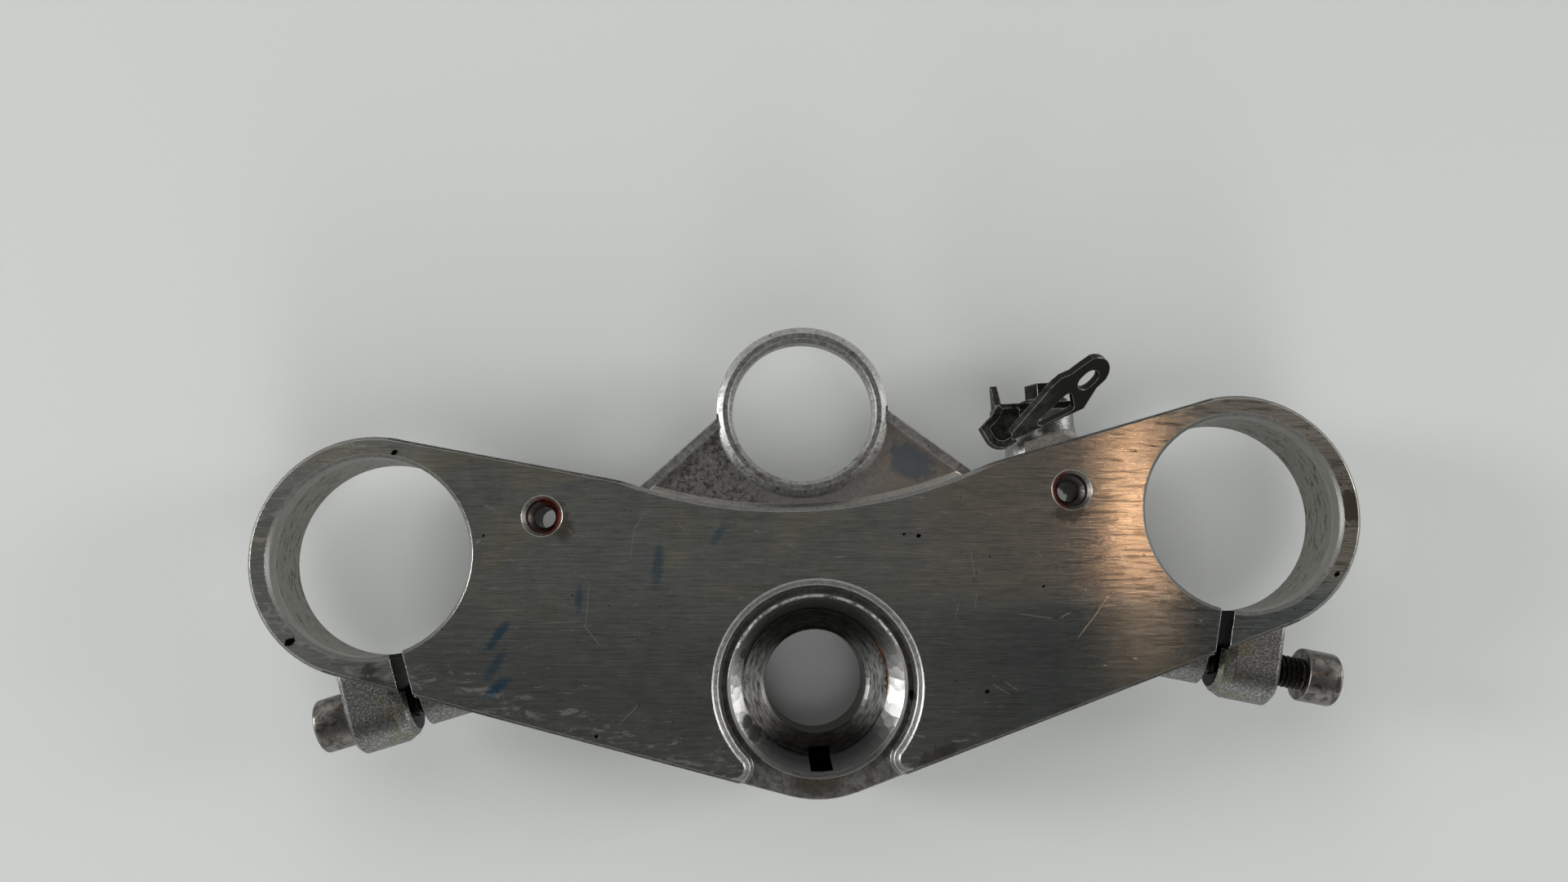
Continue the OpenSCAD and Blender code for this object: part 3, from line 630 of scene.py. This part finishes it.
class Seat:
    """Stem recess: turned metal with painted highlights to the left and right, black with grease in
    front and in corners.
    """

    def __init__(self, t, g):
        x, y, z, stem_r, fine, grime, side_highlight = g.x, g.y, g.z, g.stem_r, g.fine, g.grime, g.side_highlight
        bend = x.op("ARCTAN2", y)
        self.turned = turned = t.noise(t.vector(stem_r * 1.7, z * 1.7, bend * 5.0), 1.0, 5.0, 0.68, 0.5)
        wall = g.nz.abs().ramp(0.5, 0.3)
        self.on_wall = wall * stem_r.ramp(SEAT_R - 0.2, SEAT_R + 0.2) * g.in_stem
        # Painted highlights: the shoulder and the wall are painted lighter to the left and right of the
        # stem
        wall_highlight = (y * 0.05 - 0.08).abs().ramp(0.85, 0.10)
        level = 0.11 + turned.ramp(0.32, 0.72) * 0.22 + side_highlight * turned.ramp(0.30, 0.6) * 0.65
        seat = t.shade(SEAT, level)
        seat = t.mix(seat, t.shade(SEAT_WALL, 0.13 + wall_highlight * 0.42), self.on_wall)

        # Grease in front, at the rear of the shoulder, in the corner and in chips
        front = y.ramp(*GREASE_FRONT_Y)
        greasy = front * (0.50 + grime * 0.5) * z.ramp(TOP_Z - 1.1, TOP_Z - 2.0)
        seat = t.mix(seat, GREASE_FRONT, greasy.min(1.0))
        rear = y.ramp(*GREASE_REAR_Y) * stem_r.ramp(SEAT_R, SEAT_R - 1.0)
        seat = t.mix(seat, GREASE_REAR, (rear * (0.4 + grime * 0.7)).min(1.0))
        corner = (stem_r.band(SEAT_R - 0.6, SEAT_R + 0.3, 0.2)
            * z.ramp(SHOULDER_Z + 2.5, SHOULDER_Z + 1.0) * y.ramp(*CORNER_Y))
        chips = most([near(g, (u, v, r, r * CHIP_WIDTH, angle), g.rough_edge, CHIP_Z)
            for u, v, r, angle in CHIPS.values()])
        packed = corner * (grime * 1.2 + fine * 0.3) + front * stem_r.ramp(17.0, 18.5) * grime * 1.3
        self.black = packed.ramp(0.50, 0.75).max(chips)
        seat = t.mix(seat, GREASE, self.black * 0.92)

        # Rust on the right, a film in the bore, and painted highlight lines at the rim and at the bore,
        # brightest to the left and right
        rust = x.ramp(*RUST_X) * y.band(*RUST_Y, 2.5) * stem_r.band(SEAT_R - 1.1, SEAT_R + 0.2, 0.3)
        seat = t.mix(seat, RUST, rust * (turned * 0.7 + fine * 0.8).ramp(0.66, 0.86))
        in_bore = stem_r.ramp(STEM_BORE_R + 0.3, STEM_BORE_R + 0.05)
        seat = t.mix(seat, BORE_FILM, in_bore * (0.5 + grime * 0.4))
        rim_highlight = stem_r.band(LIP_R - 0.35, LIP_R + 0.5, 0.15) * z.ramp(TOP_Z - 2.1, TOP_Z - 1.7)
        bore_highlight = (z.band(SHOULDER_Z - 0.8, SHOULDER_Z - 0.1, 0.1)
            * stem_r.ramp(STEM_BORE_R + 1.2, STEM_BORE_R + 0.9) * side_highlight)
        highlight_lines = rim_highlight * (0.25 + side_highlight * 0.6) + bore_highlight * 0.8
        self.colour = t.mix(seat, SEAT_HIGHLIGHT, highlight_lines.min(1.0))


def relief_colour(t, g):
    """Relief: a painted highlight line, a grey slope, a second painted highlight line, then painted
    shadow at the foot of the drop and a rough floor.
    """
    z, grime, fine = g.z, g.grime, g.fine
    relief = t.shade(PALE_GREY, 0.18 + g.grain * 0.38)
    floor = z.ramp(RELIEF_FLOOR_Z + 0.5, RELIEF_FLOOR_Z + 0.2)
    relief = t.mix(relief, FLOOR_DIRT, floor * grime.ramp(0.40, 0.65) * 0.7)
    # Painted shadow at the foot of the drop to the relief's floor, patchy with the grime noise
    groove_shadow = (g.stem_r.ramp(LIP_FOOT_R + 0.4, LIP_FOOT_R)
        * z.ramp(RELIEF_FLOOR_Z + 0.9, RELIEF_FLOOR_Z + 0.3))
    relief = t.mix(relief, GROOVE_SHADOW, groove_shadow * (0.4 + grime * 0.6) * g.y.ramp(*GROOVE_SHADOW_Y))
    # Painted highlight lines on the relief's edges, brightest to the left and right
    highlight_lines = z.ramp(TOP_Z - 0.38, TOP_Z - 0.32) + z.band(TOP_Z - 1.0, TOP_Z - 0.7, 0.06)
    relief = t.mix(relief, RELIEF_HIGHLIGHT, highlight_lines.min(1.0) * (0.10 + fine * 0.35 + g.side_highlight * 0.45))
    yellow = near(g, YELLOW_SPOT, (grime - 0.5) * 2.4, RELIEF_FLOOR_Z)
    relief = t.mix(relief, YELLOW_STAIN, yellow * 0.6)
    return t.mix(relief, BLACK_SPOT, near(g, DARK_SPOT, g.rough_edge, RELIEF_FLOOR_Z))


def with_holes(t, g, cast):
    """Small holes: dark walls with red-brown residue, most of it on the left, and painted shade deeper
    down.
    """
    x, z = g.x, g.z
    cast = t.mix(cast, t.shade(HOLE, 0.02 + g.fine * 0.20), g.in_stop * 0.9)
    residue = g.fine * 0.6 + g.grime * 0.6 + (g.stop_x * -0.05 + x.ramp(*RESIDUE_X) * 0.08)
    red = residue.ramp(0.60, 0.72) * z.ramp(TOP_Z - 0.1, TOP_Z - 0.6)
    cast = t.mix(cast, RED_RESIDUE, g.in_stop * red * 0.85)
    # Painted shade deeper in the holes
    return t.mix(cast, HOLE_SHADE, g.in_stop * z.ramp(TOP_Z - 3.0, TOP_Z - 6.0) * 0.8)


def web_colour(t, g):
    """Web of the ring: dark with light flecks on the left, brown with a bluish patch on the right."""
    x, y, z, grime = g.x, g.y, g.z, g.grime
    fleck = t.noise(t.vector(x * 0.9 + y * 0.5, y * 0.8 - x * 0.3, z), 1.0, 4.0, 0.7)
    colour = t.shade(WEB, 0.18 + fleck * 0.42)
    left = x.ramp(*WEB_LEFT_X)
    colour = t.mix(colour, WEB_FLECK, left * fleck.ramp(0.58, 0.70) * 0.6)
    colour = t.mix(colour, WEB_DARK, left * t.noise(g.at, 0.9, 5.0, 0.75).ramp(0.46, 0.60) * 0.7)
    colour = t.mix(colour, WEB_BROWN, x.ramp(*WEB_RIGHT_X) * grime.ramp(0.38, 0.62) * 0.6)
    bluish = near(g, BLUISH_SPOT, (grime - 0.5) * 1.6, WEB_TOP_Z)
    return t.mix(colour, WEB_BLUISH, bluish * 0.8)


def with_web(t, g, cast):
    """The web, its light foot at the plate and a painted shade line along the bottom of the plate's
    wall above the foot.
    """
    y, z = g.y, g.z
    web = (z.ramp(WEB_TOP_Z + 0.9, WEB_TOP_Z + 0.7) * y.ramp(*WEB_Y)
        * g.ring_r.ramp(RING_R - 0.5, RING_R + 0.1) * g.nz.ramp(0.6, 0.8))
    cast = t.mix(cast, web_colour(t, g), web)
    width = g.x.abs().ramp(WEB_HALF + 1.0, WEB_HALF - 1.0)
    foot = g.arc_r.band(ARC_R - 2.0, ARC_R - 0.1, 0.3) * z.ramp(*FOOT_Z) * width
    cast = t.mix(cast, FOOT, foot * (0.3 + g.fine * 0.5))
    # Painted shade line in the crease at the bottom of the plate's wall, patchy with the grime noise
    foot_shade = g.arc_r.band(ARC_R - 0.3, ARC_R + 0.3, 0.15) * z.ramp(*FOOT_SHADE_Z) * width
    return t.mix(cast, FOOT_SHADE, foot_shade * (0.3 + g.grime.ramp(0.4, 0.6) * 0.6))


def yoke_material():
    t = Tree("cast_aluminium")
    g = Ground(t)
    x, y, z, fine = g.x, g.y, g.z, g.fine

    # Colours of the casting, from its skin to what lies in front of it
    cast = skin_colour(t, g)
    cast = t.mix(cast, lug_colour(t, g), g.lug)
    ring = g.ring_r.ramp(RING_R + 0.7, RING_R + 0.3) * z.ramp(RING_TOP_Z + 0.2, RING_TOP_Z + 0.1)
    cast = t.mix(cast, ring_colour(t, g), ring)
    cast = t.mix(cast, bore_colour(t, g), g.in_fork)
    seat = Seat(t, g)
    cast = t.mix(cast, seat.colour, g.in_stem)
    in_relief = (g.stem_r.band(LIP_R + 0.4, RELIEF_REACH, 0.1) * y.ramp(*RELIEF_Y)
        * z.ramp(TOP_Z - 0.02, TOP_Z - 0.07) * z.ramp(RELIEF_FLOOR_Z - 1.2, RELIEF_FLOOR_Z - 0.7))
    cast = t.mix(cast, relief_colour(t, g), in_relief)
    boss_r = hypot(x - GUIDE_X, z - GUIDE_Z)
    boss = (boss_r.ramp(BOSS_FLARE_R, BOSS_FLARE_R - 1.5) * y.ramp(GUIDE_Y - 6.7, GUIDE_Y - 5.2)
        * y.ramp(GUIDE_Y + 0.3, GUIDE_Y + 0.1))
    cast = t.mix(cast, t.shade(BOSS, 0.18 + (g.grain - 0.5) * 0.25), boss * 0.9)
    cast = with_holes(t, g, cast)
    cast = with_web(t, g, cast)
    # Painted shadow: the walls of the slits and of the notch are painted near black
    cast = t.mix(cast, INSIDE_SHADE, (g.in_slit + g.notch).min(1.0))

    # Chamfer of the plate and light worn edges
    chamfer = (g.nz.band(0.55, 0.85, 0.05) * z.ramp(TOP_Z - 1.0, TOP_Z - 0.7)
        * g.stem_r.ramp(RELIEF_R + 0.5, RELIEF_R + 0.9)
        * g.stop_r.ramp(STOP_MOUTH_R + 0.2, STOP_MOUTH_R + 0.6))
    clean = 1.0 - (g.in_slit + g.notch + g.in_stem * 0.9 + g.in_stop).min(1.0)
    cast = t.mix(cast, t.shade(PALE_GREY, 0.06 + g.grain * 0.30), chamfer)
    wear = (g.worn * (0.05 + fine * 0.5) * clean * (1.0 - chamfer * 0.6)).min(1.0)
    cast = t.mix(cast, WORN_EDGE, wear * 0.6)

    machined = (g.in_fork + g.in_stem).min(1.0)
    rough = 0.42 + (g.grain - 0.5) * 0.3 - wear * 0.10 + g.in_fork * 0.08
    height = g.grain * (1.0 - machined * 0.85) + (1.0 - machined) * fine * 0.3 + g.speckle * g.lug * 0.6
    casting = t.surface(cast, rough, 1.0 - wear * 0.2, t.bump(height, 0.55, 0.22, 0.45))

    # The turned seat shines across its grooves, and its hollow wall looks up to both sides
    hollow = t.vector(g.nx, g.ny, g.nz + seat.on_wall * 0.8)
    turned_seat = t.surface(cast, 0.32 + seat.turned * 0.12 + seat.black * 0.2, 1.0 - seat.black,
        t.bump(seat.turned, 0.4, 0.06, 0.0, hollow), Anisotropic=0.7, Tangent=t.vector(x, y, 0.001))
    casting = t.blend(casting, turned_seat, g.in_stem)
    return t.finish(t.blend(casting, brushed_shader(t, g), g.top))


# Colours of the steel screws, their threads and the black guide, and where dust lies on the guide
STEEL, STEEL_STAIN, STEEL_EDGE = (1.0, 0.98, 0.93), (0.055, 0.038, 0.025), (0.80, 0.78, 0.74)
THREAD_BLACK, THREAD_GREASE = (0.006, 0.006, 0.005), (0.05, 0.042, 0.03)
THREAD_CREST = (0.16, 0.15, 0.135)
PAINT_DARK, PAINT_LIGHT = (0.0022, 0.0028, 0.0024), (0.0045, 0.005, 0.0043)
PAINT_DUST, PAINT_BARE = (0.06, 0.057, 0.049), (0.50, 0.48, 0.44)
DUST_X = (62.0, 56.0)


def steel_material():
    t = Tree("screw_steel")
    at = t.vector(*t.position())
    fine = t.noise(at, 1.4, 4.0, 0.65)
    coarse = t.noise(at, 0.35, 4.0, 0.6, 0.5)
    steel = t.shade(STEEL, 0.22 + (fine - 0.5) * 0.24)
    steel = t.mix(steel, STEEL_STAIN, (coarse + fine * 0.3).ramp(0.58, 0.78) * 0.8)
    steel = t.mix(steel, STEEL_EDGE, t.edge(0.5) * (0.3 + fine * 0.6))
    return t.finish(t.surface(steel, 0.27 + fine * 0.16, 1.0, t.bump(fine, 0.3, 0.08, 0.3)))


def thread_material():
    t = Tree("thread_steel")
    at = t.vector(*t.position())
    fine = t.noise(at, 1.8, 4.0, 0.65)
    colour = t.mix(THREAD_BLACK, THREAD_GREASE, fine.ramp(0.50, 0.7))
    colour = t.mix(colour, THREAD_CREST, t.edge(0.25) * fine.ramp(0.3, 0.6) * 0.6)
    return t.finish(t.surface(colour, 0.34 + fine * 0.2, 0.9, t.bump(fine, 0.3, 0.05)))


def black_material():
    t = Tree("black_paint")
    x, y, z = t.position()
    at = t.vector(x, y, z)
    fine = t.noise(at, 2.2, 4.0, 0.6)
    coarse = t.noise(at, 0.5, 5.0, 0.7, 0.6)
    paint = t.mix(PAINT_DARK, PAINT_LIGHT, fine)
    dusty = x.ramp(*DUST_X) * (coarse + fine * 0.3).ramp(0.55, 0.78)
    paint = t.mix(paint, PAINT_DUST, dusty * 0.3)
    bare = t.edge(0.35) * (coarse + fine * 0.5).ramp(0.60, 0.80)
    paint = t.mix(paint, PAINT_BARE, bare * 0.7)
    return t.finish(t.surface(paint, 0.26 + dusty * 0.3 + fine * 0.06, bare * 0.8,
        t.bump(fine + coarse, 0.15, 0.05, 0.45), Specular_IOR_Level=0.14))


# Pinch bolts with a real helical thread, in millimetres in the bolt's own frame

THREAD_PITCH, THREAD_DEPTH, THREAD_END = 1.25, 0.62, 1.2
ROOT_SHARE, FLANK_SHARE = 0.12, 0.76
BOLT_R, BOLT_L, BOLT_HEAD_R, BOLT_HEAD_H, BOLT_BACKED_OUT = 3.97, 30.0, 6.5, 8.3, 7.5
SOCKET_AF, SOCKET_DEPTH, SOCKET_CHAMFER = 6.0, 4.0, 0.3
SEGMENTS, ROWS_PER_PITCH = 72, 8
SHARP_ANGLE = 38.0


def pinch_place(side, backed_out):
    """From the bolt's own frame, Z from its thread to its head, to the part's."""
    c, s = cos_sin(PINCH_ANGLE)
    out, slit = Vector((c, -s, 0.0)), Vector((-s, -c, 0.0))
    foot = Vector((FORK_X, FORK_Y, PINCH_Z)) + out * (LUG_FACE + backed_out) + slit * PINCH_REACH
    if side < 0:
        foot.x, out.x, slit.x = -foot.x, -out.x, -slit.x
    place = Matrix((slit, out.cross(slit), out)).transposed().to_4x4()
    place.translation = foot
    return place


def round_row(h, radius):
    """Points round the axis at height h, with the radius as a function of the share of a turn."""
    row = []
    for k in range(SEGMENTS):
        a = 2 * math.pi * k / SEGMENTS
        r = radius(k / SEGMENTS)
        row.append((r * math.cos(a), r * math.sin(a), h))
    return row


def thread_radius(h, share):
    """Radius of the thread, which runs out at the bolt's end."""
    phase = (h / THREAD_PITCH - share) % 1.0
    tooth = min(max((abs(2.0 * phase - 1.0) - ROOT_SHARE) / FLANK_SHARE, 0.0), 1.0)
    end = min(max((h + BOLT_L) / THREAD_END, 0.0), 1.0)
    return BOLT_R - THREAD_DEPTH + THREAD_DEPTH * tooth * end


def hexagon_radius(scale, share):
    """Radius of the hexagon socket's edge, times a scale."""
    fold = (2 * math.pi * share + math.pi / 6) % (math.pi / 3) - math.pi / 6
    return SOCKET_AF / 2 / math.cos(math.pi / 6 - abs(fold)) * scale


def threaded_bolt(name, side, backed_out, head, thread):
    """A cap screw in one mesh: helical thread, round head and hexagon socket."""
    count = int(BOLT_L / THREAD_PITCH * ROWS_PER_PITCH)
    rows = []
    for i in range(count + 1):
        h = -BOLT_L + BOLT_L * i / count
        rows.append(round_row(h, lambda share: thread_radius(h, share)))
    thread_rows = len(rows)
    socket_r = SOCKET_AF / 2 / math.cos(math.radians(30)) + 0.5
    profile = [(BOLT_R - 0.3, 0.0), (BOLT_HEAD_R - 0.4, 0.0), (BOLT_HEAD_R - 0.1, 0.12),
        (BOLT_HEAD_R, 0.4), (BOLT_HEAD_R, BOLT_HEAD_H - 0.8), (BOLT_HEAD_R - 0.12, BOLT_HEAD_H - 0.35),
        (BOLT_HEAD_R - 0.4, BOLT_HEAD_H - 0.1), (BOLT_HEAD_R - 0.85, BOLT_HEAD_H),
        (socket_r, BOLT_HEAD_H)]
    for r, h in profile:
        rows.append(round_row(h, lambda share: r))
    for scale, depth in ((1.06, 0.0), (1.0, SOCKET_CHAMFER), (1.0, SOCKET_DEPTH)):
        h = BOLT_HEAD_H - depth
        rows.append(round_row(h, lambda share: hexagon_radius(scale, share)))

    # Slots of the mesh: 0 is the head, 1 the thread
    faces, slots = [], []
    for i in range(len(rows) - 1):
        low, high = i * SEGMENTS, (i + 1) * SEGMENTS
        for k in range(SEGMENTS):
            n = (k + 1) % SEGMENTS
            faces.append((low + k, low + n, high + n, high + k))
            slots.append(1 if i < thread_rows - 1 else 0)
    faces.append(tuple(range(SEGMENTS - 1, -1, -1)))
    slots.append(1)
    faces.append(tuple((len(rows) - 1) * SEGMENTS + k for k in range(SEGMENTS)))
    slots.append(0)
    mesh = bpy.data.meshes.new(name)
    mesh.from_pydata([point for row in rows for point in row], [], faces)
    mesh.materials.append(head)
    mesh.materials.append(thread)
    mesh.polygons.foreach_set("material_index", slots)
    mesh.transform(Matrix.Scale(MM, 4) @ pinch_place(side, backed_out))
    mesh.shade_smooth()
    mesh.set_sharp_from_angle(angle=math.radians(SHARP_ANGLE))
    mesh.update()
    return add_object(name, mesh)


def dress():
    steel, thread, black = steel_material(), thread_material(), black_material()
    looks = {"yoke": yoke_material(), "pinch_bolt_left": steel, "pinch_bolt_right": steel,
        "cable_guide": black, "guide_bolt": black}
    for name, material in looks.items():
        if not nodes[name].data.materials:
            nodes[name].data.materials.append(material)
        for slot in nodes[name].material_slots:
            slot.material = material
    for name, side, out in (("pinch_bolt_left", -1, 0.0), ("pinch_bolt_right", 1, BOLT_BACKED_OUT)):
        bolt = threaded_bolt(name + "_threaded", side, out, steel, thread)
        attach(bolt, "root")
        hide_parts(name)


# Stage: plain pale table, soft light from all round and a warm lamp, in metres and watts

TABLE_GREY, TABLE_HALF = (0.44, 0.453, 0.442), 3.0
SKY_TOP, SKY_SIDE, SKY_TINT = 0.125, 0.85, (1.0, 0.995, 0.985)
NEUTRAL, COOL, WHITE, WARM = (1.0, 0.995, 0.98), (0.98, 0.99, 1.0), (1.0, 1.0, 1.0), (1.0, 0.62, 0.40)
AIM = (0.0, 0.02, 0.0)

# Lamps: place, size, power, colour and whether metal mirrors them
LAMPS = {
    "soft_left": ((-2.4, 0.45, 0.975), 0.75, 38.0, NEUTRAL, True),
    "soft_right": ((2.4, 0.3, 0.975), 0.75, 22.0, NEUTRAL, True),
    "soft_rear": ((0.1, -1.5, 0.6), 0.6, 8.0, COOL, False),
    "soft_front": ((-0.2, 1.7, 0.65), 0.6, 5.0, COOL, False),
    "top_front": ((-0.35, 0.82, 1.03), 1.2, 4.8, WHITE, False),
    "top_rear": ((0.1, -0.68, 1.07), 1.2, 9.0, WHITE, False),
}

# Warm lamp: height above the top face in mm, the pixel where the top face mirrors it, size and power
WARM_HEIGHT = 280.0
WARM_SPOT = (1392, 625)
WARM_SIZE, WARM_POWER = 0.022, 0.0155


def add_table():
    mesh = bpy.data.meshes.new("table")
    corners = [(-TABLE_HALF, -TABLE_HALF, 0), (TABLE_HALF, -TABLE_HALF, 0),
        (TABLE_HALF, TABLE_HALF, 0), (-TABLE_HALF, TABLE_HALF, 0)]
    mesh.from_pydata(corners, [], [(0, 1, 2, 3)])
    table = add_object("table", mesh)
    t = Tree("table_top")
    mesh.materials.append(t.finish(t.surface(TABLE_GREY, 0.6, 0.0, Specular_IOR_Level=0.25)))


def add_world():
    world = bpy.data.worlds.new("world")
    bpy.context.scene.world = world
    world.use_nodes = True
    t = Tree("world", world.node_tree)
    up = t.parts(t.node("ShaderNodeTexCoord").outputs["Generated"])[2]
    level = up.ramp(0.80, 0.20) * (SKY_SIDE - SKY_TOP) + SKY_TOP
    background = t.node("ShaderNodeBackground")
    t.feed(background.inputs["Color"], t.shade(SKY_TINT, level))
    background.inputs["Strength"].default_value = 1.0
    out = t.node("ShaderNodeOutputWorld")
    t.feed(out.inputs["Surface"], background.outputs[0])


def add_lamp(name, at, aim, size, power, colour, diffuse=True, gloss=True):
    data = bpy.data.lights.new(name, "AREA")
    data.shape = "DISK"
    data.size = size
    data.energy = power
    data.color = colour
    lamp = add_object(name, data)
    lamp.location = at
    lamp.rotation_euler = (Vector(aim) - Vector(at)).to_track_quat("-Z", "Y").to_euler()
    lamp.visible_camera = False
    lamp.visible_diffuse = diffuse
    lamp.visible_glossy = gloss


def add_lights():
    for name, (at, size, power, colour, gloss) in LAMPS.items():
        add_lamp(name, at, AIM, size, power, colour, gloss=gloss)
    spot = on_plane(*WARM_SPOT)
    ray = spot - CAMERA_AT
    mirrored = Vector((ray.x, ray.y, -ray.z)) * (WARM_HEIGHT / -ray.z)
    add_lamp("warm", (spot + mirrored) * MM, spot * MM, WARM_SIZE, WARM_POWER, WARM, diffuse=False)


add_camera()
dress()
add_table()
add_world()
add_lights()
bpy.context.scene.view_settings.view_transform = "Standard"
